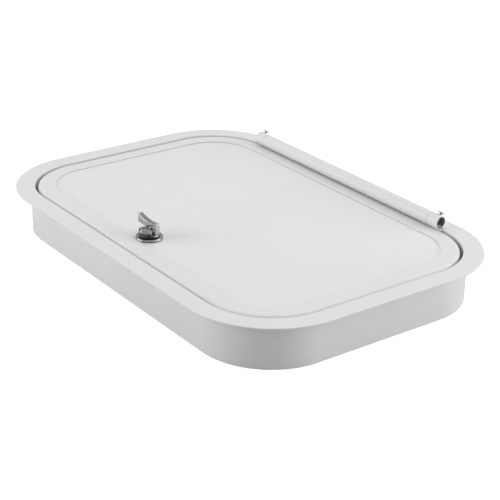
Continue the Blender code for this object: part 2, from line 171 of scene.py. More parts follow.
def rounded(points, radius, steps=4):
    """Closed outline with each corner P turned into an arc. With unit vectors a and b along its
    two sides and f the angle between them, the arc's centre is P + r / sin(f/2) along a + b and
    it touches the sides r / tan(f/2) from P. Points along it are spaced evenly in angle."""
    points = np.asarray(points, float)
    radius = np.broadcast_to(np.asarray(radius, float), len(points))[:, None]
    back, ahead = np.roll(points, 1, 0) - points, np.roll(points, -1, 0) - points
    back_length = np.linalg.norm(back, axis=1, keepdims=True)
    ahead_length = np.linalg.norm(ahead, axis=1, keepdims=True)
    back, ahead = back / back_length, ahead / ahead_length
    half = np.arccos(np.clip((back * ahead).sum(1, keepdims=True), -1, 1)) / 2
    touch = radius / np.tan(half)
    bisector = back + ahead
    bisector /= np.linalg.norm(bisector, axis=1, keepdims=True)
    centre = points + bisector * radius / np.sin(half)
    start, end = points + back * touch - centre, points + ahead * touch - centre
    sweep = (math.pi - 2 * half)[:, None]
    share = np.linspace(0, 1, steps + 1)[None, :, None]
    turn = np.sin((1 - share) * sweep) * start[:, None] + np.sin(share * sweep) * end[:, None]
    arcs = centre[:, None] + turn / np.sin(sweep)
    spare_back = back_length - touch - np.roll(touch, 1, 0)
    spare_ahead = ahead_length - touch - np.roll(touch, -1, 0)
    before = arcs[:, :1] + (back * np.minimum(SUPPORT, spare_back / 4))[:, None]
    after = arcs[:, -1:] + (ahead * np.minimum(SUPPORT, spare_ahead / 4))[:, None]
    return np.concatenate([before, arcs, after], 1).reshape(-1, 2)


def full_turn(count):
    """Evenly spaced angles round a circle, the last one short of the first."""
    return np.arange(count) * 2 * math.pi / count


def circle(radius, count=96, centre=(0, 0)):
    """Points of a circle, centre + radius * (cos t, sin t)."""
    angle = full_turn(count)
    return np.stack([centre[0] + radius * np.cos(angle), centre[1] + radius * np.sin(angle)], -1)


def arc(radius, start, end, count):
    """Points of an arc about the origin, angles in degrees, both ends included."""
    angle = np.radians(np.linspace(start, end, count))
    return np.stack([radius * np.cos(angle), radius * np.sin(angle)], -1)


def inward(outline, inset):
    """Moves each point of an anticlockwise outline inwards along the bisector of its two sides,
    by inset / cos(half the turn), which keeps the new sides parallel to the old."""
    side = np.roll(outline, -1, 0) - outline
    side /= np.maximum(np.linalg.norm(side, axis=1, keepdims=True), 1e-12)
    normal = np.stack([-side[:, 1], side[:, 0]], -1)
    bisector = normal + np.roll(normal, 1, 0)
    bisector /= np.linalg.norm(bisector, axis=1, keepdims=True)
    return outline + bisector * inset / (bisector * normal).sum(1, keepdims=True)


print("corner points on a square:", len(rounded([(0, 0), (1, 0), (1, 1), (0, 1)], 0.1)))

# %% [markdown]
# ## Mouldings, turned pieces and bars
#
# Three ways to carry a section cover nearly every piece here. A moulding follows the hatch's
# outline: the point at inset i lies at the corner's centre plus (corner radius - i) times the
# direction. A turned piece goes round an axis. A bar is an outline pushed straight along an axis
# with its end edges rounded over.

# %% Mouldings, turned pieces and bars
ORDER = {"x": (2, 0, 1), "y": (0, 2, 1), "z": (0, 1, 2)}    # where a section's axes go


def track(joint_x=None, gap=0.15 * MM, steps=44):
    """Centres and directions along the hatch's outline, anticlockwise from the left back corner.
    With joint_x the track is open there, its ends half a gap either side."""
    along, across = length / 2 - corner, width / 2 - corner
    support = 3 * MM
    centres, directions = [], []
    for number, (sx, sy) in enumerate(((-1, 1), (-1, -1), (1, -1), (1, 1)), 1):
        angle = (number + np.linspace(0, 1, steps + 1)) * math.pi / 2
        angle = np.concatenate([angle[:1], angle, angle[-1:]])
        direction = np.stack([np.cos(angle), np.sin(angle)], -1)
        centre = np.tile([sx * along, sy * across], (steps + 3, 1))
        centre[0] -= support * np.array([-direction[0, 1], direction[0, 0]])
        centre[-1] += support * np.array([-direction[-1, 1], direction[-1, 0]])
        centres.append(centre)
        directions.append(direction)
    if joint_x is not None:
        for end, place in ((-gap, 0), (gap, len(centres) + 1)):
            centres.insert(place, np.array([[joint_x + end, across]]))
            directions.insert(place, np.array([[0.0, 1.0]]))
    return np.concatenate(centres), np.concatenate(directions)


def moulding(name, section, joint_x=None):
    """Carries an (inset, height) section round the track: centre + direction * (corner - inset)."""
    section = np.asarray(section, float)
    centre, direction = track(joint_x)
    flat = centre[:, None] + direction[:, None] * (corner - section[None, :, :1])
    height = np.broadcast_to(top + section[None, :, 1:], flat.shape[:2] + (1,))
    return surface(name, np.concatenate([flat, height], -1), ring=joint_x is None)


def turned(name, section, centre, axis="z", columns=96):
    """Spins a closed (radius, height) section about an axis: radius * (cos t, sin t), height."""
    section = np.asarray(section, float)
    angle = full_turn(columns)
    local = np.stack([section[:, :1] * np.cos(angle), section[:, :1] * np.sin(angle),
                      np.broadcast_to(section[:, 1:], (len(section), columns))], -1)
    return surface(name, local[..., ORDER[axis]] + np.asarray(centre), ring=True)


def bar(name, outline, low, high, axis="z", edge=0.4 * MM, steps=4):
    """Pushes an anticlockwise outline from low to high. Near each end it shrinks by
    edge * (1 - sin t) while it moves by edge * (1 - cos t), a quarter circle. The flat of each
    end is twice the edge inside the outline, so the outline's corners are rounder than that."""
    turn = np.linspace(0, math.pi / 2, steps + 1)
    inset = np.concatenate([[2 * edge], edge * (1 - np.sin(turn))])
    shift = np.concatenate([[0], edge * (1 - np.cos(turn))])
    rows = [np.column_stack([inward(outline, i), np.full(len(outline), low + s)])
            for i, s in zip(inset, shift)]
    rows += [np.column_stack([inward(outline, i), np.full(len(outline), high - s)])
             for i, s in zip(inset[::-1], shift[::-1])]
    return surface(name, np.stack(rows)[..., ORDER[axis]])


def stands_for(piece, *nodes):
    """Puts a piece in the place of packed nodes: same body, same slot."""
    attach(piece, bodies[nodes[0]])
    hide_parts(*nodes)
    piece.data.materials.append(finishes[slots[nodes[0]]])
    return piece


print("points along the hatch's outline:", len(track()[0]))

# %% [markdown]
# ## Shader sums
#
# A material's maths reads best as a formula. Wire holds one output socket and turns +, - and *
# into Math nodes; Finish builds one material and makes every other kind of node.

# %% Shader sums


class Wire:
    """One output socket in a formula. The other terms may be plain numbers."""

    def __init__(self, finish, socket):
        self.finish, self.socket = finish, socket

    def sum_of(self, operation, first, second):
        return self.finish.node("ShaderNodeMath", {"operation": operation}, {0: first, 1: second})

    def __add__(self, other):
        return self.sum_of("ADD", self, other)

    def __sub__(self, other):
        return self.sum_of("SUBTRACT", self, other)

    def __mul__(self, other):
        return self.sum_of("MULTIPLY", self, other)

    def __rsub__(self, other):
        return self.sum_of("SUBTRACT", other, self)

    __radd__, __rmul__ = __add__, __mul__


class Finish:
    """A Principled material under construction."""

    def __init__(self, name, **constants):
        self.material = bpy.data.materials.new(name)
        self.material.use_nodes = True
        self.tree = self.material.node_tree
        self.shader = self.tree.nodes["Principled BSDF"]
        for socket, value in constants.items():
            self.shader.inputs[socket.replace("_", " ")].default_value = value

    def node(self, kind, settings=None, inputs=None, output=0):
        """Adds a node: its settings are set first, then each socket is linked or set."""
        made = self.tree.nodes.new(kind)
        for key, value in (settings or {}).items():
            setattr(made, key, value)
        for key, value in (inputs or {}).items():
            if isinstance(value, Wire):
                self.tree.links.new(value.socket, made.inputs[key])
            else:
                made.inputs[key].default_value = value
        return Wire(self, made.outputs[output])

    def place(self):
        return self.node("ShaderNodeTexCoord", output="Object")

    def along(self, axis):
        """The Object coordinate along X, Y or Z, in metres."""
        return self.node("ShaderNodeSeparateXYZ", {}, {0: self.place()}, "XYZ".index(axis))

    def noise(self, scale, detail=2.0, stretch=(1, 1, 1)):
        """Noise with `scale` features to the metre, drawn out along an axis where stretch is
        under 1."""
        where = self.node("ShaderNodeMapping", {}, {"Vector": self.place(), "Scale": stretch})
        sockets = {"Vector": where, "Scale": scale, "Detail": detail}
        return self.node("ShaderNodeTexNoise", {}, sockets)

    def ramp(self, value, low, high):
        """0 below low, 1 above high."""
        return self.node("ShaderNodeMapRange", {}, {0: value, 1: low, 2: high})

    def blend(self, share, first, second):
        """Colour mix: first where share is 0, second where it is 1."""
        first, second = (end if isinstance(end, Wire) else (*end, 1) for end in (first, second))
        sockets = {0: share, 6: first, 7: second}
        return self.node("ShaderNodeMix", {"data_type": "RGBA"}, sockets, 2)

    def feed(self, **wires):
        """Links wires to the shader's sockets, with _ for a space in a socket's name."""
        for socket, wire in wires.items():
            self.tree.links.new(wire.socket, self.shader.inputs[socket.replace("_", " ")])

    def bump(self, height, distance, strength):
        sockets = {"Height": height, "Distance": distance, "Strength": strength}
        return self.node("ShaderNodeBump", {}, sockets)


sums = [name for name in vars(Wire) if name.strip("_r") in ("add", "sub", "mul")]
print("sums a wire knows:", sums)

# %% [markdown]
# ## White powder coat
#
# Powder is sprayed dry and baked, so it flows into a skin with a faint orange peel, about a
# millimetre from crest to crest, over long soft waves. A plain white would look like plaster. Two
# noises drive the bump, and a third shifts the colour and the gloss by a percent or two, the way
# handling and thickness do. Fine dust sits in it as slightly duller specks.

# %% White powder coat


def powder_coat(name, shade, roughness):
    """Colour goes from the shade to 3.5 % under it as clouds and dust rise; roughness follows
    the clouds, the dust and the peel."""
    coat = Finish(name, Specular_IOR_Level=0.5)
    cloud = coat.noise(7.0, 3.0)
    peel = coat.noise(800.0, 2.0)
    wave = coat.noise(60.0, 1.0)
    dust = coat.ramp(coat.noise(2600.0, 1.0), 0.70, 0.80)
    light, dark = (shade,) * 3, (0.965 * shade,) * 3
    share = coat.ramp(cloud, 0.35, 0.65) * 0.7 + dust * 0.3
    coat.feed(Base_Color=coat.blend(share, light, dark),
              Roughness=roughness + 0.07 * (cloud - 0.5) + 0.10 * dust + 0.04 * (peel - 0.5),
              Normal=coat.bump(peel * 0.6 + wave * 0.4, 0.03 * MM, 0.35))
    return coat.material


finishes = {"white_paint": powder_coat("white_powder_coat", 0.80, 0.36)}
plate_coat = powder_coat("lid_plate_coat", 0.83, 0.24)
# Painted shade: a dark grey coat for the inside of the knuckles' bores, standing in for the shade there.
bore_primer = powder_coat("bore_primer", 0.2, 0.6)
print("nodes in the powder coat:", len(finishes["white_paint"].node_tree.nodes))

# %% [markdown]
# ## Steel and plated zinc
#
# Stainless fasteners carry fine marks from turning and pickling. The lock is a zinc casting,
# ground and plated: bright, but with the soft haze of the grinding left under the plate and
# small marks from keys and fingers. Both are full metals, so all the detail is in colour,
# roughness and a bump that runs one way. The wing's plating also carries painted shade: its
# colour goes nearly black low down at the front of the hub, standing in for the shade there.

# %% Steel and plated zinc


def metal(name, shade, roughness, grain, grain_size=900.0, stretch=(1, 1, 0.12), painted_front_shade=None):
    """Streaks drive roughness and bump, smears and pits the colour, from the shade to 28 % under
    it. The painted front shade is (y, height, unshaded height): the colour goes nearly black in
    front of y and below height as painted shade; it fades out over 2 mm in depth and up to the
    unshaded height, and the two shares multiply."""
    steel = Finish(name, Metallic=1.0)
    streak = steel.noise(grain_size, 3.0, stretch)
    smear = steel.noise(45.0, 2.0)
    pits = steel.ramp(steel.noise(1500.0, 2.0), 0.66, 0.74)
    dark = tuple(0.72 * part for part in shade)
    colour = steel.blend(steel.ramp(smear, 0.35, 0.75) * 0.6 + pits * 0.4, shade, dark)
    # Painted shade: a near-black colour low down at the front stands in for the hub's shade there.
    if painted_front_shade:
        y, height, unshaded_height = painted_front_shade
        front = 1 - steel.ramp(steel.along("Y"), y - 2 * MM, y)
        low = 1 - steel.ramp(steel.along("Z"), height, unshaded_height)
        colour = steel.blend(front * low * 0.8, colour, (0.01, 0.01, 0.01))
    steel.feed(Base_Color=colour,
               Roughness=roughness + 0.16 * (streak - 0.5) + 0.10 * (smear - 0.5) + 0.12 * pits,
               Normal=steel.bump(streak + pits * -0.3, grain, 0.5))
    return steel.material


plating = ((0.47, 0.47, 0.48), 0.24, 0.015 * MM, 1200.0, (0.25, 1, 1))
finishes["stainless_steel"] = metal("stainless_steel", (0.62, 0.61, 0.60), 0.30, 0.02 * MM)
finishes["polished_chrome"] = metal("plated_zinc", *plating)
# The wing's plating, with painted shade low on the front of the hub.
wing_plating = metal("wing_plating", *plating,
                     painted_front_shade=(lock_axis[1] + 1 * MM, top + 8.0 * MM, top + 11.5 * MM))
print("nodes in the wing's plating:", len(wing_plating.node_tree.nodes))

# %% [markdown]
# ## Rubber and nylon
#
# Sealing rubber is extruded, so it has faint lines and a bloom that turns it from black to dark
# grey in patches. Nylon pieces are moulded: off-white, slightly waxy, with a fine even grain.

# %% Rubber and nylon


def rubber(name):
    """Black that goes grey with the bloom, and duller with the bloom and the grain."""
    black = Finish(name, Specular_IOR_Level=0.35)
    bloom = black.noise(70.0, 4.0)
    grain = black.noise(2200.0, 2.0)
    fresh, bloomed = (0.016, 0.016, 0.017), (0.045, 0.045, 0.046)
    black.feed(Base_Color=black.blend(black.ramp(bloom, 0.4, 0.75), fresh, bloomed),
               Roughness=0.62 + 0.18 * (bloom - 0.5) + 0.08 * (grain - 0.5),
               Normal=black.bump(grain, 0.05 * MM, 0.5))
    return black.material


def nylon(name):
    """White that follows the flow of the moulding in colour and gloss."""
    white = Finish(name, Specular_IOR_Level=0.4)
    flow = white.noise(160.0, 3.0)
    grain = white.noise(3000.0, 1.0)
    light, dark = (0.79, 0.785, 0.77), (0.75, 0.745, 0.72)
    white.feed(Base_Color=white.blend(white.ramp(flow, 0.3, 0.7), light, dark),
               Roughness=0.48 + 0.12 * (flow - 0.5) + 0.06 * (grain - 0.5),
               Normal=white.bump(grain, 0.03 * MM, 0.4))
    return white.material


finishes["black_rubber"] = rubber("black_rubber")
finishes["white_nylon"] = nylon("white_nylon")
for node, holder in frame["nodes"].items():
    holder.data.materials.clear()
    holder.data.materials.append(finishes[slots[node]])
print("finishes:", sorted(finishes))

# %% [markdown]
# ## Frame
#
# One extrusion is bent round and closed: a flange that lies on the deck, a wall that goes through
# it, and inside them a gutter and a coaming for the seal. Its section is a dozen corners, each
# with the small radius of an extrusion die. Two tabs under the end knuckles and two drain holes
# are then worked into it, which are the only places where a Boolean is simpler than a formula.

# %% Frame
GUTTER_INSET, COAMING_INSET, COAMING_INNER = 27 * MM, 49 * MM, 52 * MM
WALL_OUTER, WALL_INNER = 21 * MM, 24 * MM
FLANGE_THICK, GUTTER_FLOOR, COAMING_TOP = 2.5 * MM, -27 * MM, -16 * MM


def applied(piece):
    """Puts the mesh that a piece's modifiers give in place of its own, and drops them."""
    depsgraph = bpy.context.evaluated_depsgraph_get()
    piece.data = bpy.data.meshes.new_from_object(piece.evaluated_get(depsgraph))
    piece.modifiers.clear()


def worked(piece, tool, operation):
    """Cuts or joins a tool into a piece, then removes the tool."""
    step = piece.modifiers.new("work", "BOOLEAN")
    step.operation, step.solver, step.object = operation, "EXACT", tool
    applied(piece)
    smooth(piece.data)
    bpy.data.objects.remove(tool)


def box_outline(low, high, radius):
    """A rounded rectangle between two corners."""
    corners = [(low[0], low[1]), (high[0], low[1]), (high[0], high[1]), (low[0], high[1])]
    return rounded(corners, radius)


frame_section = rounded(
    [(0, 0), (GUTTER_INSET, 0), (GUTTER_INSET, GUTTER_FLOOR + 3 * MM),
     (COAMING_INSET, GUTTER_FLOOR + 3 * MM), (COAMING_INSET, COAMING_TOP),
     (COAMING_INNER, COAMING_TOP), (COAMING_INNER, GUTTER_FLOOR), (WALL_INNER, GUTTER_FLOOR),
     (WALL_INNER, -depth), (WALL_OUTER, -depth), (WALL_OUTER, -FLANGE_THICK), (0, -FLANGE_THICK)],
    np.array([0.6, 0.7, 1.5, 1.5, 0.5, 0.5, 1.0, 2.0, 0.5, 0.5, 1.2, 0.6]) * MM)
hatch_frame = moulding("hatch_frame_extrusion", frame_section)
inner_edge = width / 2 - GUTTER_INSET
sides = {"left": -1, "right": 1}
for label, side in sides.items():
    ends = sorted(hinge_axis[0] + side * x for x in (169.3 * MM, 203 * MM))
    tab = box_outline((ends[0], inner_edge - 3.7 * MM), (ends[1], inner_edge + 3 * MM), 1 * MM)
    tab = bar("tab", tab, top - 2.9 * MM, top - 0.2 * MM, edge=0.3 * MM)
    worked(hatch_frame, tab, "UNION")
    drain = circle(5.8 * MM, 48, middle_of("drain_spigot_" + label))
    hole = bar("hole", drain, top - 32 * MM, top - 20 * MM, edge=0.1 * MM)
    worked(hatch_frame, hole, "DIFFERENCE")
stands_for(hatch_frame, "frame")
print("frame faces:", len(hatch_frame.data.polygons))

# %% [markdown]
# ## Seal
#
# The seal is a rubber moulding with a channel that grips the coaming and a bulb on top, which the
# lid presses on.

# %% Seal
seal_side = 1.8 * MM
seal_outer, seal_inner = COAMING_INSET - seal_side, COAMING_INNER + seal_side
seal_low, seal_high = (end[2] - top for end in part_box("frame_seal"))
bulb_low = COAMING_TOP + 2 * MM
bulb_middle, bulb_half = (seal_outer + seal_inner) / 2, (seal_inner - seal_outer) / 2
swing = np.linspace(0, math.pi, 25)
bulb = np.stack([bulb_middle - bulb_half * np.cos(swing),
                 bulb_low + (seal_high - bulb_low) * np.sin(swing)], -1)
slack = 0.3 * MM
grip_inner, grip_outer = COAMING_INNER + slack, COAMING_INSET - slack
channel = [(seal_inner, seal_low), (grip_inner, seal_low), (grip_inner, COAMING_TOP + slack),
           (grip_outer, COAMING_TOP + slack), (grip_outer, seal_low), (seal_outer, seal_low)]
seal = stands_for(moulding("coaming_seal", np.concatenate([bulb, channel])), "frame_seal")
print("seal faces:", len(seal.data.polygons), f"height {(seal_high - seal_low) / MM:.1f} mm")

# %% [markdown]
# ## Lid border and plate
#
# The border is a second extrusion, bent round the plate so that its groove holds the plate's edge
# all round, and butted at the middle of the hinge side. Carried on an open track, it ends there
# in two flat caps with a hair of a gap, which is the fine line seen on the real lid. Its outer
# edge has a generous radius. The plate stops inside the groove a little below the border, so a
# shadow line runs round it. Thin plate is never quite flat: long waves of a few hundredths of a
# millimetre are enough to make reflections swim as they should.

# %% Lid border and plate
LID_INSET, EDGE_RADIUS, LIP_INSET = 31 * MM, 5 * MM, 56 * MM
GROOVE_INSET, LEDGE_INSET = 44 * MM, 58 * MM
LIP_THICK, BORDER_DEPTH = 1.2 * MM, 8 * MM
JOINT_X = -3 * MM
groove_low = plate_low - 0.3 * MM
border_section = rounded(
    [(LID_INSET, 0), (LIP_INSET, 0), (LIP_INSET, -LIP_THICK), (GROOVE_INSET, -LIP_THICK),
     (GROOVE_INSET, groove_low), (LEDGE_INSET, groove_low), (LEDGE_INSET, -BORDER_DEPTH),
     (LID_INSET, -BORDER_DEPTH)],
    np.array([EDGE_RADIUS / MM, 0.35, 0.3, 0.4, 0.4, 0.6, 0.8, 0.8]) * MM, steps=8)
stands_for(moulding("lid_border_extrusion", border_section, JOINT_X), "lid_border")


def plate_grid(rows=26):
    """Rings from the lock's hole out to the plate's edge and back underneath. Ring s blends the
    hole's circle and the outer outline by s; the height is flat plus two crossed sine waves."""
    centre, direction = track()
    hole_radius, wave_height = 9.3 * MM, 0.04 * MM
    rim = centre + direction * (corner - GROOVE_INSET - 0.3 * MM)
    angle = np.arctan2(rim[:, 1] - lock_axis[1], rim[:, 0] - lock_axis[0])
    hole = lock_axis[:2] + hole_radius * np.stack([np.cos(angle), np.sin(angle)], -1)
    share = np.linspace(0, 1, rows)[:, None, None] ** 1.6
    flat = hole + (rim - hole) * share
    wave = np.sin(flat[..., :1] * 23) * np.sin(flat[..., 1:] * 31 + 0.6)
    wave *= wave_height * np.sin(share * math.pi)
    upper = np.concatenate([flat, top + plate_high + wave], -1)
    lower = np.concatenate([flat, top + plate_low + wave], -1)[::-1]
    return np.concatenate([upper, lower])


plate = stands_for(surface("lid_face_plate", plate_grid(), ring=True), "lid_plate")
plate.data.materials[0] = plate_coat
print("plate faces:", len(plate.data.polygons))

# %% [markdown]
# ## Hinge
#
# The middle tube belongs to the lid: a leaf runs down from it through the gap and turns in under
# the border. The two end knuckles belong to the frame. They are the same tube with a slot along
# its underside, on a small saddle. The tube is turned, and the leaf and the saddles are bars. A
# knuckle could be a tube with a Boolean slot; carrying its wall round an arc that stops short
# gives the slot at once, with clean edges. Inside the bore the knuckles get painted shade: a dark
# grey coat that stands in for the shade in there.

# %% Hinge
TUBE_RADIUS, TUBE_BORE = 9.25 * MM, 7.5 * MM
TUBE_HALF, LEAF_HALF = 182.2 * MM, 169 * MM
tube_section = box_outline((TUBE_BORE, -TUBE_HALF), (TUBE_RADIUS, TUBE_HALF), 0.12 * MM)
stands_for(turned("lid_hinge_tube", tube_section, hinge_axis, "x", 128), "hinge_tube")

axis_height = hinge_axis[2] - top
leaf_top, leaf_thick, foot_reach = -8 * MM, 2 * MM, -14 * MM
foot_high = -axis_height - BORDER_DEPTH - 0.3 * MM
foot_low = foot_high - 2.5 * MM
leaf_outline = rounded([(0, leaf_top), (0, foot_high), (foot_reach, foot_high),
                        (foot_reach, foot_low), (leaf_thick, foot_low), (leaf_thick, leaf_top)],
                       np.array([0.9, 1.0, 0.9, 0.9, 1.6, 0.9]) * MM)
leaf = bar("lid_hinge_leaf", leaf_outline + hinge_axis[1:],
           hinge_axis[0] - LEAF_HALF, hinge_axis[0] + LEAF_HALF, "x")
stands_for(leaf, "hinge_tube")

SLOT_FRONT, SLOT_BACK = 230, -63                # degrees round the axis
KNUCKLE_NEAR, KNUCKLE_FAR = 183.6 * MM, 202 * MM
saddle_low = 0.3 - axis_height / MM             # in millimetres, as its corners below are


def slotted_tube(name, low, high, rows=96):
    """Carries a rounded rectangle, wall thickness by length, round an arc from one edge of the
    slot to the other: (radius cos t, radius sin t), with t the row and radius from the column."""
    section = box_outline((TUBE_BORE, low), (TUBE_RADIUS, high), 0.15 * MM)
    turn = np.radians(np.linspace(SLOT_FRONT, SLOT_BACK, rows))[:, None]
    grid = np.stack([np.broadcast_to(section[:, 1], (rows, len(section))),
                     hinge_axis[1] + section[:, 0] * np.cos(turn),
                     hinge_axis[2] + section[:, 0] * np.sin(turn)], -1)
    return surface(name, grid)


def paint_bore_shade(knuckle):
    """Gives the painted shade to the faces whose middle lies no further from the axis than the bore."""
    middles = np.empty((len(knuckle.data.polygons), 3))
    knuckle.data.polygons.foreach_get("center", middles.ravel())
    away = np.linalg.norm(middles[:, 1:] - hinge_axis[1:], axis=1)
    inside = away < TUBE_BORE + 0.1 * MM
    # The bore's faces get the dark coat of painted shade.
    knuckle.data.materials.append(bore_primer)
    knuckle.data.polygons.foreach_set("material_index", inside.astype(np.int32))


saddle_corners = [(4.0, -7.4), (4.8, saddle_low), (11, saddle_low), (11, -6), (8.3, -1.5)]
saddle_outline = rounded(np.array(saddle_corners) * MM, 0.9 * MM) + hinge_axis[1:]
for label, side in sides.items():
    ends = sorted(hinge_axis[0] + side * x for x in (KNUCKLE_NEAR, KNUCKLE_FAR))
    knuckle = stands_for(slotted_tube("frame_knuckle_" + label, *ends), "hinge_knuckle_" + label)
    paint_bore_shade(knuckle)
    saddle = bar("frame_saddle_" + label, saddle_outline,
                 ends[0] + 0.4 * MM, ends[1] - 0.4 * MM, "x")
    stands_for(saddle, "hinge_knuckle_" + label)
print(f"hinge {2 * KNUCKLE_FAR:.3f} m long, axis {axis_height / MM:.1f} mm above the flange")

# %% [markdown]
# ## Screws
#
# A screw head is a turned dome with a recess pressed into it. On a polar grid that is one
# formula: the dome's height less a depth wherever the point lies inside the recess's outline. The
# outline is a cross, a hexagon or a slot, with walls a tenth of a millimetre wide.

# %% Screws


def within(distance, half, wall=0.12 * MM):
    """1 inside half, 0 outside it, with a smooth wall between."""
    share = np.clip((half - distance) / wall + 0.5, 0, 1)
    return share * share * (3 - 2 * share)


def cross_recess(x, y):
    """Two crossed slots, the larger of the two at each point."""
    x, y, arm, reach = abs(x), abs(y), 0.42 * MM, 2.0 * MM
    return np.maximum(within(x, arm) * within(y, reach), within(y, arm) * within(x, reach))


def no_recess(x, y):
    """Nothing pressed in, 0 everywhere."""
    return 0 * x


def hexagon_recess(x, y, half=2.0 * MM):
    """Inside a hexagon: the largest distance along its three normals is below half."""
    normals = np.radians([0, 60, 120])
    return within(np.max([abs(x * np.cos(a) + y * np.sin(a)) for a in normals], 0), half)


def headed(name, centre, shank, head, dome, drop, recess, recess_depth, up=1, lean=0.0,
           rings=44, columns=96):
    """Head and shank in one polar surface. Going out over the head, the height is that of a dome
    of the head's radius, dome * (1 - (r / head)^2), less the recess; then down its side by drop
    and in to the shank, which ends shank[1] further down. up = -1 turns it upside down, and lean
    tips it back about X: y' = y cos a + z sin a, z' = z cos a - y sin a."""
    angle = full_turn(columns)
    radius = np.linspace(0.02 * MM, head, rings)[:, None]
    x, y = radius * np.cos(angle), radius * np.sin(angle)
    height = drop + dome * (1 - (radius / head) ** 2) - recess_depth * recess(x, y)
    crown = np.stack([x, y, height], -1)
    core, depth = shank
    down = np.array([(head, drop * 0.5), (head, 0.15 * MM), (head - 0.15 * MM, 0),
                     (core + 0.1 * MM, 0), (core, -0.1 * MM), (core, -depth + 0.4 * MM),
                     (core * 0.5, -depth)])
    side = np.stack([down[:, :1] * np.cos(angle), down[:, :1] * np.sin(angle),
                     np.broadcast_to(down[:, 1:], (len(down), columns))], -1)
    grid = np.concatenate([crown, side]) * np.array([1, 1, up])
    tip = np.array([[1, 0, 0], [0, math.cos(lean), -math.sin(lean)],
                    [0, math.sin(lean), math.cos(lean)]])
    return surface(name, grid @ tip + np.asarray(centre))


def screwed_up(name, node, head_high, *shape, core):
    """A screw seen from below: its head sits head_high above the node's foot, and its core runs
    up to the node's top."""
    low, high = ends_of(node)
    middle, seat = (low + high) / 2, low[2] + head_high
    screw = headed(name, (*middle[:2], seat), (core, high[2] - seat), *shape, up=-1)
    return stands_for(screw, node)


SCREW_LEAN = math.radians(30)
leaning = np.array([0, math.sin(SCREW_LEAN), math.cos(SCREW_LEAN)])
for label in sides:
    foot = np.array([middle_of("stop_screw_" + label)[0], *hinge_axis[1:]])
    screw = headed("knuckle_screw_" + label, foot + (TUBE_RADIUS + 1.8 * MM) * leaning,
                   (1.75 * MM, 16.8 * MM), 4.9 * MM, 1.3 * MM, 1.2 * MM, cross_recess, 1.3 * MM,
                   lean=SCREW_LEAN)
    stands_for(screw, "stop_screw_" + label)
    spacer = headed("knuckle_spacer_" + label, foot + (TUBE_RADIUS + 0.9 * MM) * leaning,
                    (2.1 * MM, 0.8 * MM), 3.4 * MM, 0.0, 0.3 * MM, no_recess, 0.0,
                    lean=SCREW_LEAN, rings=6)
    stands_for(spacer, "stop_screw_spacer_" + label)
    screwed_up("strike_fixing_" + label, "strike_screw_" + label, 1.9 * MM,
               3.4 * MM, 0.9 * MM, 0.8 * MM, cross_recess, 0.9 * MM, core=1.6 * MM)
for number in range(1, 7):
    fixing = screwed_up(f"leaf_fixing_{number}", f"leaf_screw_{number}", 1.6 * MM,
                        3.4 * MM, 0.8 * MM, 0.8 * MM, cross_recess, 0.9 * MM, core=1.7 * MM)
print("faces on one leaf screw:", len(fixing.data.polygons))

# %% [markdown]
# ## Rings, washers and bushes
#
# All the small rings are one section, a rectangle with eased corners, spun about the node's own
# axis. Their outer size and place are read from the packed node; only the bore is stated.

# %% Rings, washers and bushes
bores = {"lock_gasket": 9.3, "lock_washer": 9.3, "hub_ring": 10.0, "cam_spacer": 6.1,
         "cam_washer": 2.9}         # in millimetres
PIN_BORE, PIN_RADIUS = 6.3 * MM, 6.0 * MM
on_pin = [kind + label for kind in ("lid_bush_", "knuckle_bush_", "thrust_washer_")
          for label in sides]


def ring_like(node, bore, axis):
    """A rectangle between the bore and the node's radius, over the node's height, spun round."""
    low, high = ends_of(node)
    half = (high - low)[ORDER[axis].index(2)] / 2
    section = box_outline((bore, -half), ((high - low)[1] / 2, half), min(0.25 * MM, half * 0.25))
    return stands_for(turned(node + "_ring", section, (low + high) / 2, axis), node)


for node, bore in bores.items():
    ring_like(node, bore * MM, "z")
for node in on_pin:
    ring_like(node, PIN_BORE, "x")

rod_low, rod_high = ends_of("hinge_rod")
pin_outline = circle(PIN_RADIUS, 64, hinge_axis[1:])
stands_for(bar("hinge_pin", pin_outline, rod_low[0], rod_high[0], "x", edge=0.8 * MM), "hinge_rod")
print("rings:", len(bores) + len(on_pin), f"pin {(rod_high - rod_low)[0]:.3f} m long")

# %% [markdown]
# ## Lock body and nut
#
# The base ring and the threaded barrel below it are one turned casting, so one section spun round
# gives both, thread ridges included. The nut is a surface whose rows go round its section and
# whose columns go round a hexagon.

# %% Lock body and nut
BARREL_RADIUS, SPINDLE_BORE = 9 * MM, 6.1 * MM
PITCH, THREAD_DEPTH, RING_EDGE = 0.75 * MM, 0.45 * MM, 1.5 * MM
body_low, body_high = ends_of("lock_body")
ring_radius = (body_high - body_low)[0] / 2
ring_low, ring_top = -0.2 * MM, body_high[2] - top
barrel_low = body_low[2] - top
thread = np.arange(barrel_low + 2 * PITCH, -11.5 * MM, PITCH)
crests = np.stack([np.tile([BARREL_RADIUS - THREAD_DEPTH, BARREL_RADIUS], len(thread)),
                   np.stack([thread, thread + PITCH / 2], -1).ravel()], -1)
bore_side = [(SPINDLE_BORE, ring_top), (SPINDLE_BORE, barrel_low),
             (BARREL_RADIUS - 0.5 * MM, barrel_low)]
ring_side = [(BARREL_RADIUS, thread[-1] + 1 * MM), (BARREL_RADIUS, ring_low),
             (ring_radius - 0.3 * MM, ring_low), (ring_radius, ring_low + 0.3 * MM)]
edge_arc = arc(RING_EDGE, 0, 90, 9) + np.array([ring_radius - RING_EDGE, ring_top - RING_EDGE])
body_section = np.concatenate([bore_side, crests, ring_side, edge_arc])
stands_for(turned("lock_base", body_section, (*lock_axis[:2], top)), "lock_body")


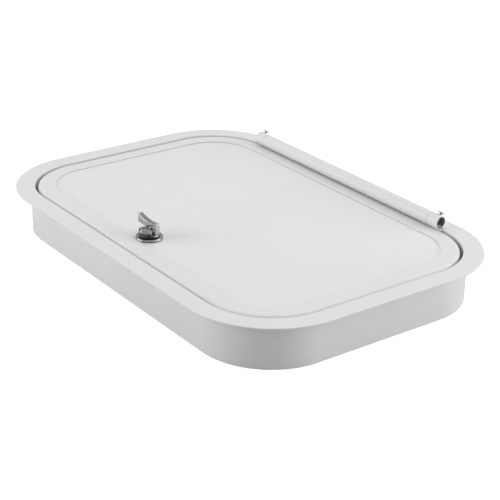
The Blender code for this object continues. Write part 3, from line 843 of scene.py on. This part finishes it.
def nut_grid(flat=11 * MM, bore=9.3 * MM, per_side=16):
    """Rows round the nut's section, columns round its outline. At angle t the hexagon's radius is
    flat / cos(t - nearest flat), cut back to a circle towards the two faces, as a chamfer does."""
    low, high = ends_of("lock_nut")
    angle = full_turn(6 * per_side)
    off = (angle - math.pi / 6) % (math.pi / 3)
    hexagon = flat / np.cos(off - math.pi / 6)
    cut = np.minimum(hexagon, flat * 1.02)
    half = (high - low)[2] / 2
    ease, chamfer = 0.3 * MM, 0.9 * MM
    rows = [(bore, -half + ease), (bore + ease, -half), (cut, -half), (hexagon, -half + chamfer),
            (hexagon, half - chamfer), (cut, half), (bore + ease, half), (bore, half - ease)]
    rings = [np.stack([r * np.cos(angle), r * np.sin(angle), 0 * angle + z], -1) for r, z in rows]
    return np.stack(rings) + (low + high) / 2


stands_for(surface("barrel_nut", nut_grid(), ring=True), "lock_nut")
print(f"base ring {2 * ring_radius / MM:.1f} mm across, {len(thread)} thread ridges")

# %% [markdown]
# ## Key cylinder
#
# The housing is a turned rim. The plug's face is a polar surface, like a screw head, with a
# keyway pressed into it and the rim standing round it. A Boolean could cut the slot too, but then
# its edges would be sharp.

# %% Key cylinder
HOUSING_BORE, PLUG_RADIUS, PLUG_CORE = 6.3 * MM, 6.0 * MM, 5.8 * MM
cylinder_low, cylinder_high = ends_of("key_cylinder")
rim_radius = (cylinder_high - cylinder_low)[0] / 2 - 0.3 * MM
rim_half = (cylinder_high - cylinder_low)[2] / 2
rim = rounded([(rim_radius, -rim_half), (rim_radius, rim_half), (HOUSING_BORE, rim_half),
               (HOUSING_BORE, -rim_half)], np.array([0.2, 0.9, 0.9, 0.2]) * MM, steps=6)
stands_for(turned("key_housing", rim, middle_of("key_cylinder")), "key_cylinder")


def keyway(x, y):
    """A long slot with a step on one side, as keys have."""
    slot = within(abs(y), 0.6 * MM) * within(abs(x), 4.0 * MM)
    step = within(abs(y - 0.5 * MM), 0.5 * MM) * within(abs(x + 1.2 * MM), 1.5 * MM)
    return np.maximum(slot, step)


plug_low, plug_high = ends_of("key_plug")
plug_seat = plug_high[2] - 0.9 * MM
plug = headed("key_core", (*middle_of("key_plug")[:2], plug_seat),
              (PLUG_CORE, plug_seat - plug_low[2]), PLUG_RADIUS, 0.5 * MM, 0.4 * MM,
              keyway, 2.2 * MM, rings=70, columns=144)
stands_for(plug, "key_plug")
print("faces on the plug:", len(plug.data.polygons))

# %% [markdown]
# ## Wing handle
#
# The handle is one casting: a hub that flares to its foot and leans towards the keyhole, and an
# upright wing with a hollow back. Cast metal has fillets everywhere, which are hard to write as
# formulas where two forms meet. So the hub and the wing are made as two numpy surfaces, joined,
# and remeshed finely; a few smoothing passes then round every edge and inner corner by about half
# a millimetre.

# %% Wing handle
HUB_FOOT, HUB_TOP_RADIUS = 14.4 * MM, 10.4 * MM
HUB_LOW, HUB_HIGH = 3.7 * MM, 12.0 * MM
WELL_START = 0.60       # share of the hub's height where the key's well begins
SOCKET_HALF = 4.3 * MM
key_shift = key_axis[1] - lock_axis[1]


def hub_grid(columns=128, rows=36):
    """Rings from the foot up. Both the radius and the centre's slide towards the key go straight
    from foot to top, with a small parabola added to the radius near the foot for the flare. The
    slide ends where the key's well begins, so that the well keeps an even wall."""
    rise = np.linspace(0, 1, rows)[:, None]
    slide = np.clip(rise / WELL_START, 0, 1)
    flare = np.clip(1 - rise / 0.35, 0, 1) ** 2
    radius = HUB_TOP_RADIUS + (HUB_FOOT - HUB_TOP_RADIUS) * (0.72 * (1 - slide) + 0.28 * flare)
    angle = full_turn(columns)
    return np.stack([radius * np.cos(angle), radius * np.sin(angle) + key_shift * slide,
                     np.broadcast_to(HUB_LOW + (HUB_HIGH - HUB_LOW) * rise, (rows, columns))], -1)


def wing_outline():
    """(x, height) outline: a raised tip, a top edge that sags as a parabola, an upright heel."""
    tip, heel = -27.9 * MM, 13.9 * MM
    heel_high, tip_rise, sag = 22.9 * MM, 1.4 * MM, 3.4 * MM
    share = np.linspace(0, 1, 17)
    back = np.stack([heel + (tip - heel) * share,
                     heel_high + tip_rise * share - sag * 4 * share * (1 - share)], -1)
    heel_side = np.array([(12.6, 4.4), (13.8, 8.0)]) * MM
    under = np.array([(-27.9, 11.9), (-12.5, 11.3), (-9.3, 8.6), (-6.0, 4.4)]) * MM
    return np.concatenate([heel_side, back, under])


place = np.array([*lock_axis[:2], top])
handle = surface("wing_lock_handle", hub_grid() + place)
wing = bar("wing", wing_outline() + place[[0, 2]], place[1] + 0.15 * MM, place[1] + 7.75 * MM, "y",
           edge=1.1 * MM)
worked(handle, wing, "UNION")
well_low = HUB_LOW + WELL_START * (HUB_HIGH - HUB_LOW) - 0.6 * MM
well = bar("key_well", circle(9.35 * MM, 96, (place[0], place[1] + key_shift)),
           top + well_low, top + 13.6 * MM, edge=0.1 * MM)
worked(handle, well, "DIFFERENCE")
socket = box_outline(place[:2] - SOCKET_HALF, place[:2] + SOCKET_HALF, 0.3 * MM)
socket = bar("socket", socket, top + 2 * MM, top + 6.6 * MM, edge=0.05 * MM)
worked(handle, socket, "DIFFERENCE")
groove = box_outline(place[1:] + np.array([-2, 20.2]) * MM, place[1:] + np.array([10, 21.2]) * MM,
                     0.3 * MM)
groove = bar("groove", groove, place[0] + 13 * MM, place[0] + 16 * MM, "x", edge=0.05 * MM)
worked(handle, groove, "DIFFERENCE")
voxels = handle.modifiers.new("voxels", "REMESH")
voxels.mode, voxels.voxel_size = "VOXEL", 0.35 * MM
ease = handle.modifiers.new("ease", "SMOOTH")
ease.factor, ease.iterations = 0.5, 5
applied(handle)
handle.data.shade_smooth()
# The handle gets the plating with painted shade low on the hub's front.
stands_for(handle, "wing_handle").data.materials[0] = wing_plating
print("handle faces:", len(handle.data.polygons))

# %% [markdown]
# ## Spindle, cam and strike
#
# Under the lid a square spindle carries the cam arm, which swings under the gutter floor and
# slides on a steel strike plate. They are bars with eased edges; the cam's outline is two arcs.

# %% Spindle, cam and strike
low, high = ends_of("spindle")
square = box_outline(low[:2], high[:2], 0.8 * MM)
stands_for(bar("square_spindle", square, low[2], high[2], edge=0.3 * MM), "spindle")

EYE_RADIUS, TIP_RADIUS = 8.5 * MM, 7.0 * MM
low, high = ends_of("cam_arm")
tip_place = np.array([low[0] + TIP_RADIUS, lock_axis[1]])
cam_outline = np.concatenate([arc(EYE_RADIUS, -90, 90, 33) + lock_axis[:2],
                              arc(TIP_RADIUS, 90, 270, 33) + tip_place])
stands_for(bar("cam_lever", cam_outline, low[2], high[2], edge=0.5 * MM), "cam_arm")
print(f"cam reaches {(lock_axis[0] - low[0]) / MM:.1f} mm from the spindle")

low, high = ends_of("strike_plate")
strike = bar("strike", box_outline(low[:2], high[:2], 2 * MM), low[2], high[2], edge=0.3 * MM)
stands_for(strike, "strike_plate")
screwed_up("cam_fixing", "cam_bolt", 3.6 * MM, 5.6 * MM, 1.2 * MM, 2.4 * MM, hexagon_recess,
           2.2 * MM, core=2.5 * MM)

# %% [markdown]
# ## Drain spigots
#
# Each gutter drain is a moulded hose tail: a collar under the floor and a tube with two barbs.

# %% Drain spigots
collar = [(4.2, -22.0), (4.2, 2.5), (5.5, 2.5), (5.5, -0.3), (9.0, -0.3), (9.0, -2.5), (6.5, -2.5)]
barbs = [(6.5, -18.0), (7.2, -18.0), (6.3, -20.0), (6.3, -20.2), (7.1, -20.2), (6.2, -22.0)]
spigot_section = np.array(collar + barbs) * MM
for label in sides:
    seat = (*middle_of("drain_spigot_" + label)[:2], top + GUTTER_FLOOR)
    spigot = turned("gutter_drain_" + label, spigot_section, seat, columns=72)
    stands_for(spigot, "drain_spigot_" + label)
print("faces on one drain spigot:", len(spigot.data.polygons))

# %% [markdown]
# ## Camera
#
# The camera looks down at the near corner from about two metres with a long lens, which keeps the
# hatch's sides almost parallel. Its three axes are worked out from two angles and a slight roll
# and written into its matrix as columns; a Track To constraint would do as well, but not the roll.

# %% Camera
AZIMUTH, ELEVATION, ROLL = math.radians(53.14), math.radians(24.31), 0.021
EYE = np.array([1.41374, -1.03986, 0.73724 + top])


def posed(thing, sideways, upwards, backwards, place):
    """Links an object and gives it a matrix with these columns."""
    pose = np.eye(4)
    pose[:3] = np.stack([sideways, upwards, backwards, place], -1)
    thing.matrix_world = Matrix(pose.tolist())
    bpy.context.scene.collection.objects.link(thing)
    return thing


level = math.cos(ELEVATION)
view = np.array([-math.sin(AZIMUTH) * level, math.cos(AZIMUTH) * level, -math.sin(ELEVATION)])
right = np.cross(view, [0, 0, 1.0])
right /= np.linalg.norm(right)
right = math.cos(ROLL) * right + math.sin(ROLL) * np.cross(right, view)
lens = bpy.data.cameras.new("camera")
lens.lens, lens.sensor_width = 100.0, 36.0
camera = posed(bpy.data.objects.new("camera", lens), right, np.cross(right, view), -view, EYE)
bpy.context.scene.camera = camera
print(f"camera {np.linalg.norm(EYE):.2f} m away")

# %% [markdown]
# ## Floor
#
# The floor is white paper. To the camera it glows white, so that the hatch stands on plain white,
# and to the hatch it gives only a little light, so that the walls keep their shade. Light Path
# tells the two apart.

# %% Floor
bpy.context.scene.view_settings.view_transform = "Standard"
REACH, BELOW = 12.0, -0.5 * MM
corners = [(-REACH, -REACH, BELOW), (REACH, -REACH, BELOW),
           (REACH, REACH, BELOW), (-REACH, REACH, BELOW)]
floor_mesh = bpy.data.meshes.new("floor")
floor_mesh.from_pydata(corners, [], [(0, 1, 2, 3)])
floor = bpy.data.objects.new("floor", floor_mesh)
bpy.context.scene.collection.objects.link(floor)
paper = Finish("studio_floor", Roughness=0.9, Emission_Strength=1.0)
seen = paper.node("ShaderNodeLightPath", output="Is Camera Ray")
paper.feed(Base_Color=paper.blend(paper.noise(3.0), (0.42,) * 3, (0.40,) * 3),
           Emission_Color=paper.blend(seen, (0.12,) * 3, (0.95,) * 3))
floor_mesh.materials.append(paper.material)
print(f"floor {2 * REACH:.0f} m square")

# %% [markdown]
# ## Room and softboxes
#
# The room is a plain grey that falls off towards the camera's side, so that plated faces turned
# to the camera have something dark to mirror. Four softboxes do the rest: a wide one overhead, one
# high behind the hinge, and one low to each side of the camera for the walls. The one behind
# doesn't show in mirrors, or it would burn out the top of the wing.

# %% Room and softboxes
ROOM, ROOM_BY_CAMERA = 0.50, 0.28
world = bpy.data.worlds.new("studio")
bpy.context.scene.world = world
world.use_nodes = True
room = world.node_tree.nodes
where = room.new("ShaderNodeTexCoord")
toward_camera = room.new("ShaderNodeVectorMath")
toward_camera.operation = "DOT_PRODUCT"
toward_camera.inputs[1].default_value = (0.8, -0.6, 0.0)
dimming = room.new("ShaderNodeMapRange")
for number, value in enumerate((0.0, 1.0, ROOM, ROOM_BY_CAMERA), 1):
    dimming.inputs[number].default_value = value
world.node_tree.links.new(where.outputs["Generated"], toward_camera.inputs[0])
world.node_tree.links.new(toward_camera.outputs["Value"], dimming.inputs[0])
world.node_tree.links.new(dimming.outputs[0], room["Background"].inputs["Color"])


def softbox(name, place, size, power, mirrored=True):
    """An area light aimed at the middle of the hatch."""
    light = bpy.data.lights.new(name, "AREA")
    light.shape, light.size, light.size_y, light.energy = "RECTANGLE", *size, power
    toward = np.array([0, 0, top]) - np.array(place)
    toward = toward / np.linalg.norm(toward)
    sideways = np.cross(toward, [0, 0.05, 1.0])
    sideways /= np.linalg.norm(sideways)
    upwards = np.cross(sideways, toward)
    box = posed(bpy.data.objects.new(name, light), sideways, upwards, -toward, place)
    box.visible_camera, box.visible_glossy = False, mirrored


softbox("overhead", (0.15, 0.35, 2.1), (2.4, 2.4), 12.5)
softbox("behind", (-0.5, 1.3, 1.9), (2.0, 2.0), 9, mirrored=False)
softbox("left", (-1.1, -1.9, 0.7), (1.6, 1.0), 24)
softbox("right", (1.5, 1.5, 0.6), (1.6, 1.0), 22)
print("softboxes:", [light.name for light in bpy.data.lights])

# %% [markdown]
# ## Finish
#
